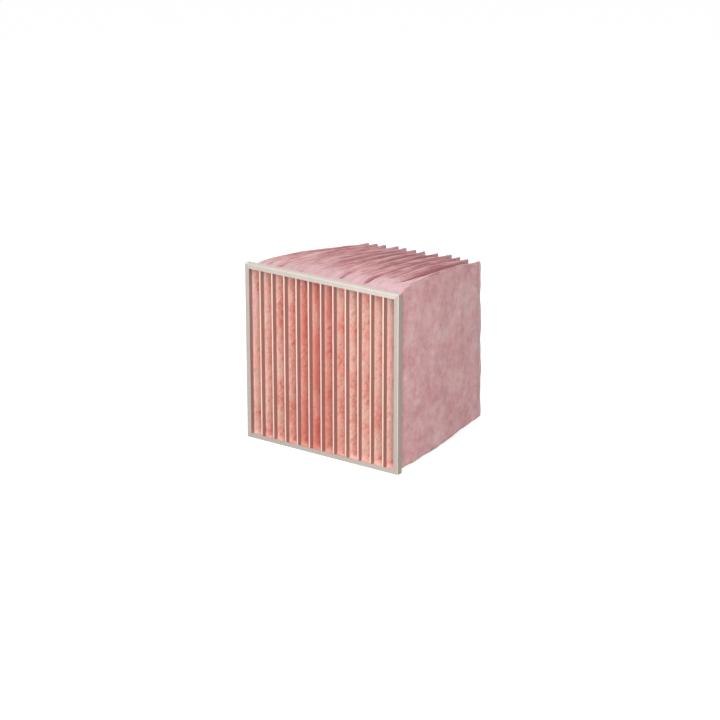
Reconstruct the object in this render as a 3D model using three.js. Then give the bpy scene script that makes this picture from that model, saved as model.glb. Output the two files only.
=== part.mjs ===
// Bag air filter: a galvanised steel header frame that holds a row of glass fibre pockets.
// The lips of two neighbouring pockets share one folded steel strip, and the outermost lips
// have a strip of their own. Millimetres, +Z up. Air enters along +Y, through the header.

import * as THREE from "three";

// Header frame: four rails of bent sheet with a front flange, a web and a back flange
const FACE_SIZE = 592;
const HEADER_DEPTH = 25;
const FRONT_FLANGE = 16;
const BACK_FLANGE = 10;
const RAIL_SHEET = 1;
const RAIL_BEND_RADIUS = 2;

// Strips: a sheet folded round the lips of the pockets, open towards the rear
const STRIP_WIDTH = 5;
const STRIP_DEPTH = 18.5;
const STRIP_SHEET = 0.7;
const STRIP_BEND_RADIUS = 1.4;

// Pockets: wedge-shaped bags of wadding, open at the header and sewn shut at the rear hem
const TOTAL_DEPTH = 520;
const POCKET_COUNT = 12;
const MEDIA_THICKNESS = 4;
const LIP_THICKNESS = 1.3;
const HEM_THICKNESS = 4;
const HEM_LENGTH = 18;
const REAR_BOW = 3;
const CORNER_RADIUS = 12;
const CREST_RISE = 3;
const FOOT_LEAD = 10;
const BELLY_REACH = 240;
const REAR_LIFT = 35;
const PUFF_LEFT = 11;
const PUFF_RIGHT = 27;

// How far each pocket's rear hem hangs over towards +X, and how far its top corner lies
// below the pocket's mouth, from the left pocket to the right one
const REAR_LEAN = [87, 76, 61, 62, 48, 37, 27, 30, 33, 20, 2, 1];
const REAR_DROP = [31, 27, 25, 22, 22, 22, 21, 19, 14, 17, 19, 18];

// Clearance between pieces that touch on the real filter
const CLEARANCE = 0.3;

// A square edge keeps this far from a rail's inner faces, so that it clears the bend too
const RAIL_INNER_RADIUS = RAIL_BEND_RADIUS - RAIL_SHEET;
const BEND_CLEARANCE = Math.max(
  CLEARANCE,
  RAIL_INNER_RADIUS - (RAIL_INNER_RADIUS - CLEARANCE) * Math.SQRT1_2,
);

// The pockets' mouths fill the opening that the back flanges leave
const MOUTH_MARGIN = BACK_FLANGE + CLEARANCE;
const POCKET_PITCH = (FACE_SIZE - 2 * MOUTH_MARGIN) / POCKET_COUNT;
const MOUTH_HALF_WIDTH = POCKET_PITCH / 2 - CLEARANCE / 2;
const MOUTH_TOP = FACE_SIZE - MOUTH_MARGIN - CLEARANCE;
const MOUTH_BOTTOM = MOUTH_MARGIN + CLEARANCE;
const POCKET_LENGTH = TOTAL_DEPTH - HEADER_DEPTH;
const HEM_START = 1 - HEM_LENGTH / POCKET_LENGTH;
const HEM_HALF_WIDTH = HEM_THICKNESS / 2;
const CLOSING_HALF_WIDTH = MEDIA_THICKNESS + 1;

// Shape of a pocket along its length, as shares of the length behind the header
const STATIONS = [0.03, 0.09, 0.22, 0.4, 0.6, 0.8];
const PUFF_SHARE_LEFT = 0.07;
const PUFF_SHARE_RIGHT = 0.03;
const SINK_SHARE = 0.06;
const STRAIGHT_SHARE = 0.05;
const TAPER_POWER = 1.2;
const LEAN_POWER = 1.3;
const DROP_POWER_LEFT = 1.5;
const DROP_POWER_RIGHT = 2.5;
const CORNER_SHARE = 0.6;
const LIFT_POWER = 0.9;
const BOW_POWER = 3;

// Resolution of a pocket's cross-section
const CORNER_STEPS = 2;
const SIDE_STEPS = 3;
const BEND_STEPS = 3;

const galvanisedSteel = new THREE.MeshStandardMaterial({
  color: 0xd2c9c0,
  roughness: 0.42,
  metalness: 0.85,
});
const stripSteel = new THREE.MeshStandardMaterial({
  color: 0xcdbfb2,
  roughness: 0.4,
  metalness: 0.8,
});
const glassFibreWadding = new THREE.MeshStandardMaterial({
  color: 0xc9989c,
  roughness: 0.95,
  metalness: 0,
});

// Straight line between two values
function mix(from, to, share) {
  return from + (to - from) * share;
}

// Value at a share of the way along a list, so that a list suits any number of pockets
function alongList(list, share) {
  const place = share * (list.length - 1);
  const lower = Math.min(Math.floor(place), list.length - 2);
  return mix(list[lower], list[lower + 1], place - lower);
}

// Closed body from rings of points: each ring is joined to the next, and the first and the
// last ring are closed across
function bodyFromRings(rings, closeRing) {
  const count = rings[0].length;
  const positions = rings.flat().flatMap((point) => point.toArray());
  const triangles = [];
  for (let ring = 0; ring + 1 < rings.length; ring += 1) {
    for (let side = 0; side < count; side += 1) {
      const here = ring * count + side;
      const beside = ring * count + ((side + 1) % count);
      triangles.push(here, here + count, beside);
      triangles.push(beside, here + count, beside + count);
    }
  }
  const last = (rings.length - 1) * count;
  for (const [a, b, c] of closeRing) {
    triangles.push(a, b, c);
    triangles.push(last + a, last + c, last + b);
  }
  const geometry = new THREE.BufferGeometry();
  geometry.setAttribute("position", new THREE.Float32BufferAttribute(positions, 3));
  geometry.setIndex(triangles);
  geometry.computeVertexNormals();
  return geometry;
}

// Outline of bent sheet that follows a line of straight runs: its outer face has the bend
// radius, and its inner face lies one sheet thickness inside
function bentSheetOutline(corners, thickness, radius) {
  const outer = [];
  const inner = [];
  corners.forEach((corner, index) => {
    const before = corners[index - 1] ?? corner;
    const after = corners[index + 1] ?? corner;
    const arriving = corner.clone().sub(before).normalize();
    const leaving = after.clone().sub(corner).normalize();
    if (index === 0 || index === corners.length - 1) {
      const run = index === 0 ? leaving : arriving;
      const inward = new THREE.Vector2(-run.y, run.x);
      outer.push(corner.clone());
      inner.push(corner.clone().addScaledVector(inward, thickness));
      return;
    }
    const centre = corner.clone().addScaledVector(arriving, -radius).addScaledVector(leaving, radius);
    for (let step = 0; step <= BEND_STEPS; step += 1) {
      const angle = (step / BEND_STEPS) * (Math.PI / 2);
      const spoke = leaving.clone().multiplyScalar(-Math.cos(angle));
      spoke.addScaledVector(arriving, Math.sin(angle));
      outer.push(centre.clone().addScaledVector(spoke, radius));
      inner.push(centre.clone().addScaledVector(spoke, radius - thickness));
    }
  });
  return outer.concat(inner.reverse());
}

// Section of a rail: x is the depth behind the front face, y the distance from the edge
function railOutline() {
  return bentSheetOutline(
    [
      new THREE.Vector2(0, FRONT_FLANGE),
      new THREE.Vector2(0, 0),
      new THREE.Vector2(HEADER_DEPTH, 0),
      new THREE.Vector2(HEADER_DEPTH, BACK_FLANGE),
    ],
    RAIL_SHEET,
    RAIL_BEND_RADIUS,
  );
}

// Bottom rail, with ends mitred at 45 degrees
function railGeometry() {
  const outline = railOutline();
  const mitreGap = (CLEARANCE / 2) * Math.SQRT2;
  const ringAt = (side) =>
    outline.map((point) => {
      const reach = FACE_SIZE / 2 - point.y - mitreGap;
      return new THREE.Vector3(side * reach, point.x, point.y);
    });
  const faces = THREE.ShapeUtils.triangulateShape(outline, []);
  return bodyFromRings([ringAt(1), ringAt(-1)], faces);
}

function makeRail(name, turn) {
  const rail = new THREE.Mesh(railGeometry(), galvanisedSteel.clone());
  rail.name = name;
  rail.rotation.y = turn;
  return rail;
}

// The rails are turned about the middle of the header's face
function makeHeader() {
  const header = new THREE.Group();
  header.position.z = FACE_SIZE / 2;
  const turns = {
    header_rail_bottom: 0,
    header_rail_left: Math.PI / 2,
    header_rail_top: Math.PI,
    header_rail_right: -Math.PI / 2,
  };
  for (const [name, turn] of Object.entries(turns)) {
    const rail = makeRail(name, turn);
    rail.geometry.translate(0, 0, -FACE_SIZE / 2);
    header.add(rail);
  }
  return header;
}

// A strip stands behind the front flanges, between the bottom and the top lips
function makeStrip(name, place) {
  const front = RAIL_SHEET + CLEARANCE;
  const end = RAIL_SHEET + BEND_CLEARANCE + LIP_THICKNESS + CLEARANCE;
  const outline = bentSheetOutline(
    [
      new THREE.Vector2(front + STRIP_DEPTH, STRIP_WIDTH / 2),
      new THREE.Vector2(front, STRIP_WIDTH / 2),
      new THREE.Vector2(front, -STRIP_WIDTH / 2),
      new THREE.Vector2(front + STRIP_DEPTH, -STRIP_WIDTH / 2),
    ],
    STRIP_SHEET,
    STRIP_BEND_RADIUS,
  );
  const ringAt = (height) => outline.map((point) => new THREE.Vector3(point.y, point.x, height));
  const faces = THREE.ShapeUtils.triangulateShape(outline, []);
  const geometry = bodyFromRings([ringAt(end), ringAt(FACE_SIZE - end)], faces);
  const strip = new THREE.Mesh(geometry, stripSteel.clone());
  strip.name = name;
  strip.position.x = place;
  return strip;
}

// Strips stand at both sides of each pocket's mouth
function makeStrips() {
  const strips = new THREE.Group();
  for (let index = 0; index <= POCKET_COUNT; index += 1) {
    const place = (index - POCKET_COUNT / 2) * POCKET_PITCH;
    const number = String(index).padStart(2, "0");
    let name = `lip_strip_${number}`;
    if (index === 0) name = "end_strip_left";
    if (index === POCKET_COUNT) name = "end_strip_right";
    strips.add(makeStrip(name, place));
  }
  return strips;
}

// Outer half width of a pocket: full at the mouth, a narrow wedge where the hem begins
function pocketHalfWidth(share) {
  const along = Math.max(0, (share - STRAIGHT_SHARE) / (HEM_START - STRAIGHT_SHARE));
  return mix(MOUTH_HALF_WIDTH, CLOSING_HALF_WIDTH, along ** TAPER_POWER);
}

// A pocket leaves the header straight, and then leans over more and more: this is how much
// of its rear lean it has, as a share
function pocketLean(share) {
  const along = Math.max(0, (share - STRAIGHT_SHARE) / (1 - STRAIGHT_SHARE));
  return along ** LEAN_POWER;
}

// Top line of a pocket: it puffs up behind the header and then falls away to the hem
function pocketTop(share, { puff, puffShare, drop, dropPower }) {
  const swollen = puff * (1 - Math.exp(-share / puffShare));
  return MOUTH_TOP + swollen - (puff + drop) * share ** dropPower;
}

// Bottom line of a pocket: the belly lies on the floor, and the rear end is lifted off it
function pocketBottom(share) {
  const bellyEnd = BELLY_REACH / POCKET_LENGTH;
  const sinking = Math.max(0, 1 - share / SINK_SHARE);
  const lifting = Math.max(0, (share - bellyEnd) / (1 - bellyEnd));
  return MOUTH_BOTTOM * sinking ** 2 + REAR_LIFT * lifting ** LIFT_POWER;
}

// One ring round a pocket: a tall outline with a seam crest along its top and rounded corners,
// from the crest down the +X side and up the other. Its foot stands further to +X than its
// top by footLead.
function pocketRing({ centre, depth, halfWidth, top, bottom, radius, crest, bow, footLead }) {
  const shoulder = top - crest;
  const corner = Math.min(radius, CORNER_SHARE * halfWidth);
  const side = [[0, top]];
  for (let step = 0; step <= CORNER_STEPS; step += 1) {
    const angle = (step / CORNER_STEPS) * (Math.PI / 2);
    const across = halfWidth - corner * (1 - Math.sin(angle));
    side.push([across, shoulder - corner * (1 - Math.cos(angle))]);
  }
  for (let step = 1; step < SIDE_STEPS; step += 1) {
    side.push([halfWidth, mix(shoulder - corner, bottom + corner, step / SIDE_STEPS)]);
  }
  for (let step = CORNER_STEPS; step >= 0; step -= 1) {
    const angle = (step / CORNER_STEPS) * (Math.PI / 2);
    const across = halfWidth - corner * (1 - Math.sin(angle));
    side.push([across, bottom + corner * (1 - Math.cos(angle))]);
  }
  side.push([0, bottom]);
  const mirrored = side.slice(1, -1).reverse().map(([across, height]) => [-across, height]);
  return side.concat(mirrored).map(([across, height]) => {
    const fromTop = (top - height) / (top - bottom);
    const place = centre + footLead * fromTop + across;
    return new THREE.Vector3(place, depth - bow * (2 * fromTop - 1) ** 2, height);
  });
}

// Triangles across a pocket's ring, between its two mirrored sides
function pocketRingFaces() {
  const half = 2 * CORNER_STEPS + SIDE_STEPS + 2;
  const count = 2 * half;
  const faces = [[0, 1, count - 1]];
  for (let step = 1; step + 1 < half; step += 1) {
    faces.push([step, step + 1, count - step]);
    faces.push([step + 1, count - step - 1, count - step]);
  }
  faces.push([half - 1, half, half + 1]);
  return faces;
}

// Lip rings, from the back flange to the lip's front edge: inside the header the lip spreads
// up and down to the rails, and it narrows to pass the back flanges
function lipRings(mouth, wall) {
  const railFace = RAIL_SHEET + BEND_CLEARANCE + wall;
  const spread = {
    halfWidth: MOUTH_HALF_WIDTH - wall,
    top: FACE_SIZE - railFace,
    bottom: railFace,
    radius: 0,
    crest: 0,
    bow: 0,
    footLead: 0,
    centre: mouth,
  };
  const neck = { ...spread, top: MOUTH_TOP - wall, bottom: MOUTH_BOTTOM + wall };
  const flangeFace = HEADER_DEPTH - RAIL_SHEET - BEND_CLEARANCE - wall;
  const lipEdge = RAIL_SHEET + STRIP_SHEET + 2 * CLEARANCE;
  return [
    pocketRing({ ...neck, depth: HEADER_DEPTH + CLEARANCE }),
    pocketRing({ ...neck, depth: flangeFace }),
    pocketRing({ ...spread, depth: flangeFace }),
    pocketRing({ ...spread, depth: lipEdge }),
  ];
}

// Bag rings behind the header, from the rear to the mouth, a wall thickness inside the outer
// face, or on it where the wall is nought
function bagRings(mouth, shape, wall) {
  const rearShares = wall > 0 ? [HEM_START] : [1, HEM_START];
  const shares = rearShares.concat(STATIONS.toReversed());
  return shares.map((share) => {
    const halfWidth = share < 1 ? pocketHalfWidth(share) - wall : HEM_HALF_WIDTH;
    return pocketRing({
      centre: mouth + shape.lean * pocketLean(share),
      depth: HEADER_DEPTH + POCKET_LENGTH * share,
      halfWidth,
      top: pocketTop(share, shape) - wall,
      bottom: pocketBottom(share) + wall,
      radius: CORNER_RADIUS,
      crest: CREST_RISE,
      bow: REAR_BOW * share ** BOW_POWER,
      footLead: FOOT_LEAD * pocketLean(share),
    });
  });
}

// A pocket is one hollow solid: outer face, lip and inner face in one run of rings
function makePocket(name, index) {
  const share = index / (POCKET_COUNT - 1);
  const mouth = (index - (POCKET_COUNT - 1) / 2) * POCKET_PITCH;
  const shape = {
    lean: alongList(REAR_LEAN, share),
    drop: alongList(REAR_DROP, share),
    puff: mix(PUFF_LEFT, PUFF_RIGHT, share),
    puffShare: mix(PUFF_SHARE_LEFT, PUFF_SHARE_RIGHT, share),
    dropPower: mix(DROP_POWER_LEFT, DROP_POWER_RIGHT, share),
  };
  const outside = bagRings(mouth, shape, 0).concat(lipRings(mouth, 0));
  const inside = bagRings(mouth, shape, MEDIA_THICKNESS).concat(lipRings(mouth, LIP_THICKNESS));
  const geometry = bodyFromRings(outside.concat(inside.toReversed()), pocketRingFaces());
  const pocket = new THREE.Mesh(geometry, glassFibreWadding.clone());
  pocket.name = name;
  return pocket;
}

function makePockets() {
  const pockets = new THREE.Group();
  for (let index = 0; index < POCKET_COUNT; index += 1) {
    const number = String(index + 1).padStart(2, "0");
    pockets.add(makePocket(`pocket_${number}`, index));
  }
  return pockets;
}

// The origin is on the floor, under the middle of the whole filter
function makeFilter() {
  const filter = new THREE.Group();
  filter.add(makeHeader(), makeStrips(), makePockets());
  filter.position.y = -TOTAL_DEPTH / 2;
  return filter;
}

export default makeFilter();
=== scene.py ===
"""Bag air filter: wadding pockets, seams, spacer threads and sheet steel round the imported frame."""

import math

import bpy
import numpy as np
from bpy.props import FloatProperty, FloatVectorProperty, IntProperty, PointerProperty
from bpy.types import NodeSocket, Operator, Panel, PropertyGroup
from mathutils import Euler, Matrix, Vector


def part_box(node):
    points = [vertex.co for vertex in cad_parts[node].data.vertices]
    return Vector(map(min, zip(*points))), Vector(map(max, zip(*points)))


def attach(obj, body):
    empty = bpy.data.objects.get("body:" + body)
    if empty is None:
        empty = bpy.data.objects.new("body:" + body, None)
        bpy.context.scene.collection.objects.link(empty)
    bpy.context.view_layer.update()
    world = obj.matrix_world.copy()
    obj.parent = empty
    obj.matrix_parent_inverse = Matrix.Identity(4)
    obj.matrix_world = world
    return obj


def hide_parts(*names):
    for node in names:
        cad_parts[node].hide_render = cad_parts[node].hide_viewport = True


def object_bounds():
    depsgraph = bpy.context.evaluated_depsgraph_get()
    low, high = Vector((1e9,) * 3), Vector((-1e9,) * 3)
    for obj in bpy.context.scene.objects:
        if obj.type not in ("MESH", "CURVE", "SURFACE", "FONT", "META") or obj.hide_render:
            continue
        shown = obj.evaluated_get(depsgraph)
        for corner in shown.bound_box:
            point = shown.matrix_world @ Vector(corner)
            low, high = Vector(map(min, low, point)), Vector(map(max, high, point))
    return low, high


bl_info = {
    "name": "Bag air filter",
    "version": (1, 0, 0),
    "blender": (4, 5, 0),
    "location": "3D View > Sidebar > Air filter",
    "description": "Dresses the frame of a bag air filter with wadding pockets, seams and steel",
    "category": "Object",
}

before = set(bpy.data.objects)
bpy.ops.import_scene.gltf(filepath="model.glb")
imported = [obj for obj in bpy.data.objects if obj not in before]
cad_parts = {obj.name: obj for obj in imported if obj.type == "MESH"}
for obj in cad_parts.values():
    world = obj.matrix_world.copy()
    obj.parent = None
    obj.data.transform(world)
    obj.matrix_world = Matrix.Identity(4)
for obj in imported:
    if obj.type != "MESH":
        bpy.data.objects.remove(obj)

CAD_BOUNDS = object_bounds()
BODY = "root"
MM = 0.001

# Nodes of the frame
RAILS = ["header_rail_bottom", "header_rail_left", "header_rail_top", "header_rail_right"]
POCKETS = sorted(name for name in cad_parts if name.startswith("pocket_"))
NUMBERS = range(1, len(POCKETS) + 1)
STRIPS = sorted(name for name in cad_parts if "strip" in name)
HEADER_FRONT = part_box(RAILS[0])[0].y
HEADER_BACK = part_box(RAILS[0])[1].y
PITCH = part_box("lip_strip_02")[0].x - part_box("lip_strip_01")[0].x

# Rule of a pocket's outline along its length, as shares of its length behind the header
HEM_HALF_WIDTH = 2 * MM
CLOSING_HALF_WIDTH = 5 * MM
STRAIGHT_SHARE = 0.05
TAPER_POWER = 1.2
LEAN_POWER = 1.3
SINK_SHARE = 0.06
LIFT_START = 0.485
LIFT_POWER = 0.9
PUFF = (16 * MM, 27 * MM)
PUFF_SHARE = (0.055, 0.03)
DROP_POWER = (1.5, 2.5)
REAR_BOW = 3 * MM
BOW_POWER = 3
HEM_BAND = 5 * MM
HEM_RISE = 4 * MM
HEIGHT_SPREAD = 1.8 * MM
HEIGHT_TURNS = 2.7

# Spans of a pocket's features along it, as shares of its length: where each sets in and fades out
PIT_SPAN = ((0.02, 0.06), (0.12, 0.26))
PRESS_SPAN = ((0.0, 0.03), (0.1, 0.32))
WAVE_SPAN = ((0.03, 0.12), (0.8, 0.96))
WANDER_SPAN = ((0.02, 0.15), (0.85, 0.97))

# Spans over which other features set in, part, fade or change
WALL_THICKENS = (-0.01, 0.004)
MOUTH_OPENS = (0.0, 0.035)
FLUFF_STARTS = (-0.006, 0.01)
SWELL_STARTS = (0.004, 0.06)
TOP_SWELLS = (0.03, 0.08)
STREAKS_START = (0.0, 0.03)
CREST_TURNS = (0.03, 0.16)
SEAM_RISES = (0.04, 0.2)
CAP_PARTS = (0.07, 0.22)
CAP_SHARPENS = (0.15, 0.6)
SHADE_DEEPENS = (0.1, 0.34)
FRONT_SHADE_FADES = (0.04, 0.2)
FRONT_FADES = (0.03, 0.24)
HEM_RUN = 0.03
RISE_RUN = 0.09

# How far one pocket's noise lies from the next one's, in its colours and in its relief
COLOUR_SEED = 1.7
RELIEF_SEED = 4.3

# Waves along the top and down the hem; each pocket's start this much further round
PHASE_STEP = 0.381
TOP_WAVE = 0.7 * MM
TOP_WAVES = 2.2
TOP_WAVE_SINK = 0.6
CREST_WAVES = 1.6
HEM_WAVE = 1.8 * MM
HEM_WAVE_LENGTH = 160 * MM
TONE_WAVE_LENGTH = 340 * MM

# The outermost right pocket's seam lies over its outer wall, by this share of half its width
OUTER_CREST = 0.88
CREST_WANDER = 0.06
SEAM_ROOM = 2.4 * MM
CLEARANCE = 0.2 * MM
LIP_RUN = 0.3 * MM

# How far the lining stays below a seam that lies right over the wall, the least half width that
# is left inside, and how far round a spacer thread its pull reaches, as a share of their spacing
LINING_DROP = 8 * MM
THINNEST = 0.4 * MM
PULL_REACH = 0.3

# Height of a pocket's round top, as a share of half its width: behind the header between two
# pockets and on the outer walls, and where it has closed to an edge; and what cuts it down
PRESSED_CAP = 0.14
OUTER_CAPS = {0: 0.95, len(POCKETS): 0.45}
SHARP_CAP = 1.25
CREST_CUT = 0.75
PIT_CUT = 0.6
BASE_CAP = 0.6
SHARP_POWER = 0.85

# Points round a section: over the seam, the round top and the bottom
RIDGE_ACROSS = np.array([0.0, 0.75, 1.0])
RIDGE_DOWN = np.array([0.0, 0.12, 0.8])
RIDGE_MOST = 0.85
CAP_START = 0.3
WALL_LEAST = 0.6
CAP_STEPS = 10
BASE_STEPS = 7
LINING_STEPS = 42
LINING_ACROSS = np.array([0.0, 0.04, 0.08])

# Where the sections lie, as shares of a pocket's length: close together behind the header, then
# apart, and close together again over the hem, as shares of the hem
SKIN_START = 0.002
LINING_START = -0.008
FRONT_END = 0.06
FRONT_RINGS = 9
LINING_POWER = 1.35
HEM_RINGS = np.array([0.12, 0.25, 0.4, 0.6, 0.8, 1.0])

# What a section holds for each of its points
COLUMNS = ("x", "y", "z", "ridge", "top", "swell", "arc", "valley", "outer_side", "lengthways",
           "pressed")

# Gaps where neighbouring pockets part early and leave a pit behind the header, and how deep it is;
# the same value sets the painted shade in the pit
PITS = {1: 0.3, 2: 0.55, 7: 0.8, 9: 1.0}

# How much painted shade the crease along each gap gets, from the first gap to the last, and at the
# hems; how far down the painted shade sets in, away from a pit and in one, and how far down it
# fades by how much
GAP_SHADES = (0.15, 0.2, 0.25, 0.35, 0.75, 0.5, 0.65, 0.7, 1.0, 0.9, 1.0)
SHADE_DEPTHS = (15 * MM, 7 * MM)
SHADE_FADES = (45 * MM, 90 * MM)
SHADE_LOSS = 0.6
HEM_SHADE = 0.8

# How far down from the seam the streaks along the top fade, on an outermost wall and elsewhere
OUTER_STREAKS = (4 * MM, 24 * MM)
STREAKS = (35 * MM, 80 * MM)
STREAK_SCALES = (130.0, 11.0)

# The wadding is reddest inside the pockets near this one, and palest in the outermost ones
WARM_POCKET = 6.0
WARM_SPREAD = 2.4
WARM_TONE = 1.5
PALE_TONE = 0.45
OUTERMOST_TONE = 0.4
TONE_SWING = 0.3

# The lining's shade right behind the strips: where it ends behind the header's front, and the
# heights between which it grows
LIP_SHADE_DEPTHS = (16 * MM, 34 * MM)
LIP_SHADE_HEIGHTS = (120 * MM, 420 * MM)

# Tones of the wadding outside, from the first pocket to the last. Behind the header the tops get
# painted light at the first pocket that turns to painted shade at the last, and painted shade right
# behind the top rail that grows towards the last; the walls there take a deeper tone. The tops of
# the first half of the pockets get painted light all along, and the seam ridges a painted highlight
FRONT_TONE = (0.65, -0.5)
FRONT_SHADE = (0.4, 0.95)
TOP_TONE = 0.45
WALL_TONE = -0.45
RIDGE_HIGHLIGHT = 0.75

# The sewing starts at this share of a pocket's length, leaves out so many points at the top and
# at the foot of a hem, and stands this proud
SEWN_FROM = 0.06
HEM_SEWN = (5, 4)
SEWING_PROUD = 0.15 * MM
SPACER_ROWS = 4

# Each rail's colour is scaled by its own factor, the top one's palest; behind the front flange
# the sheet gets painted shade, of which the top rail's back gets only a part
RAIL_TONES = {"header_rail_bottom": 0.85, "header_rail_left": 0.9,
              "header_rail_top": 1.0, "header_rail_right": 0.8}
TOP_RAIL_SHADE = 0.3
# Colour of the painted highlight along the outer bends of the front flanges
BEND_HIGHLIGHT = (0.86, 0.82, 0.76)

# Azimuth and elevation of each light in degrees, its distance and its size
LIGHTS = {"key": ((20, 47), 2.6, 1.5), "fill": ((34, 12), 3.2, 1.6), "back": ((205, 14), 3.2, 2.4)}
WHITE = (1, 1, 1, 1)
FLOOR_GREY = 0.42
FLOOR_GLOW = 0.8


def header_box():
    """Lowest and highest corner of the four rails."""
    corners = [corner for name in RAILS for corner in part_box(name)]
    low = Vector([min(corner[axis] for corner in corners) for axis in range(3)])
    high = Vector([max(corner[axis] for corner in corners) for axis in range(3)])
    return low, high


# Numbers

def mix(first, second, share):
    return first + (second - first) * share


def smooth(low, high, value):
    """0 below low, 1 above high, and a smooth step between them."""
    share = np.clip((value - low) / (high - low), 0, 1)
    return share * share * (3 - 2 * share)


def within(span, value):
    """1 inside a span that sets in and fades out, and 0 outside it."""
    return smooth(*span[0], value) * (1 - smooth(*span[1], value))


# Settings that a user would change

def plain(name, description, default, **settings):
    return FloatProperty(name=name, description=description, default=default, **settings)


def length(name, description, default):
    return plain(name, description, default, unit="LENGTH", subtype="DISTANCE", precision=5)


def angle(name, description, degrees):
    return plain(name, description, math.radians(degrees), subtype="ANGLE", unit="ROTATION")


def whole(name, description, default):
    return IntProperty(name=name, description=description, default=default)


def fraction(name, description, default):
    return plain(name, description, default, min=0, max=1, subtype="FACTOR")


def colour(name, description, default):
    return FloatVectorProperty(name=name, description=description, default=default,
                               size=3, min=0, max=1, subtype="COLOR")


class AirFilterPockets(PropertyGroup):
    """Sizes of the wadding pockets."""
    wadding: length("Wadding", "Thickness of a pocket's wall", 4 * MM)
    lip: length("Lip", "Thickness of the wadding where a strip pinches it", 1.3 * MM)
    hem: length("Hem", "Length of the pressed hem at a pocket's rear", 18 * MM)
    seam: length("Seam", "Height of the sewn seam along a pocket's top", 3.5 * MM)
    seam_half: length("Seam half thickness", "Half thickness of the sewn seam", 1.5 * MM)
    round_cap: fraction("Round top", "Height of the round top, as a share of half the width", 0.34)
    billow_height: length("Billow height", "Depth of the wadding's wide billows", 3.5 * MM)
    billow_size: length("Billow size", "Spacing of the wide billows", 75 * MM)
    lump_height: length("Lump height", "Depth of the wadding's lumps", 1.6 * MM)
    lump_size: length("Lump size", "Spacing of the lumps", 24 * MM)
    crease_height: length("Crease height", "Depth of the creases along a pocket's top", 4.5 * MM)
    crease_size: length("Crease size", "Spacing of the creases", 16 * MM)
    pull: length("Thread pull", "How far a spacer thread pulls the wall in", 1.6 * MM)
    wall_steps: whole("Wall steps", "Rows of faces down a wall", 70)
    length_steps: whole("Length steps", "Rows of faces along a wall", 88)
    outer_wall_steps: whole("Outer wall steps", "Rows down the wall of an outermost pocket", 130)
    outer_length_steps: whole("Outer length steps", "Rows along an outermost pocket's wall", 110)


class AirFilterColours(PropertyGroup):
    """Colours of the wadding and of the steel."""
    outer_pale: colour("Outer pale", "Palest wadding outside", (0.75, 0.475, 0.47))
    outer_middle: colour("Outer middle", "Middle wadding outside", (0.655, 0.335, 0.345))
    outer_deep: colour("Outer deep", "Deepest wadding outside", (0.54, 0.215, 0.235))
    # The lining's shades are paler and warmer than the outside's: partly the wadding's own colour
    # inside, partly painted light that stands in for light coming through the thin wadding
    inner_pale: colour("Inner pale", "Palest wadding inside", (0.99, 0.66, 0.565))
    inner_middle: colour("Inner middle", "Middle wadding inside", (0.965, 0.495, 0.41))
    inner_deep: colour("Inner deep", "Deepest wadding inside", (0.82, 0.21, 0.15))
    clump: colour("Clump", "Dense clumps of the wadding inside", (0.66, 0.17, 0.125))
    # Colour of the painted shade on the lining right behind the strips
    lip: colour("Lip", "Wadding inside, right behind the strips", (0.6, 0.43, 0.385))
    # Colour of the painted shade in the gaps, pits, hems and creases, and of the dark part of the
    # streaks along the tops
    crease: colour("Crease", "Wadding in the depth of a crease", (0.38, 0.105, 0.125))
    # Colour of the painted shade on the tops right behind the top rail
    pinched: colour("Pinched", "Wadding outside, right behind the top rail", (0.545, 0.38, 0.425))
    hem: colour("Hem", "Pressed wadding of a seam", (0.57, 0.36, 0.42))
    rail: colour("Rail", "Galvanised sheet of the header", (0.55, 0.488, 0.437))
    # Painted shade on the rails' sheet behind the front flange
    rail_dull: colour("Rail, dull", "Duller sheet behind the front flange", (0.36, 0.285, 0.245))
    # The strips' pink is a painted reflection of the wadding in the steel; behind the nose their
    # flanks get painted shade, also tinted with that painted reflection
    strip: colour("Strip", "Folded sheet of the strips", (0.86, 0.58, 0.48))
    strip_dull: colour("Strip, dull", "Duller sheet behind a strip's nose", (0.46, 0.25, 0.215))
    thread: colour("Thread", "Spacer threads and stitches", (0.80, 0.66, 0.62))


class AirFilterThreads(PropertyGroup):
    """Sizes of the spacer threads and of the stitches."""
    thread_thickness: length("Thread thickness", "Diameter of a spacer thread", 0.9 * MM)
    first_row: length("First row", "Depth of the first row of threads behind the header", 32 * MM)
    row_pitch: length("Row pitch", "Spacing of the rows along a pocket", 130 * MM)
    rise: length("Rise", "Spacing of the threads up a row", 66 * MM)
    stitch_length: length("Stitch length", "Length of a stitch", 5.5 * MM)
    stitch_pitch: length("Stitch pitch", "Spacing of the stitches", 9 * MM)
    stitch_thickness: length("Stitch thickness", "Thickness of a stitch", 0.9 * MM)
    thread_sag: length("Thread sag", "How far a spacer thread hangs down in its middle", 2.5 * MM)
    fibre_thickness: length("Fibre thickness", "Thickness of a loose fibre", 0.35 * MM)
    fibre_reach: length("Fibre reach", "Length of a loose fibre", 9 * MM)
    fibre_density: plain("Fibre density", "Loose fibres for each square metre of wadding", 460)


class AirFilterStage(PropertyGroup):
    """Camera, light and floor."""
    azimuth: angle("Azimuth", "Turn of the camera round the filter", 35.06)
    elevation: angle("Elevation", "Height of the camera's view", 19.27)
    distance: length("Distance", "Distance of the camera from its target", 7.8)
    target: FloatVectorProperty(name="Target", description="Point that the camera looks at",
                                default=(0.004, -0.048, 0.264), size=3, subtype="XYZ")
    lens: plain("Lens", "Focal length, in millimetres", 120.7)
    key_power: plain("Key light", "Power of the key light, in watts", 39)
    fill_power: plain("Fill light", "Power of the fill light, in watts", 58)
    back_power: plain("Back light", "Power of the back light, in watts", 46)
    surroundings: plain("Surroundings", "Strength of the even light", 0.45)
    floor_size: length("Floor size", "Side of the floor", 80)


# Node trees

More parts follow.
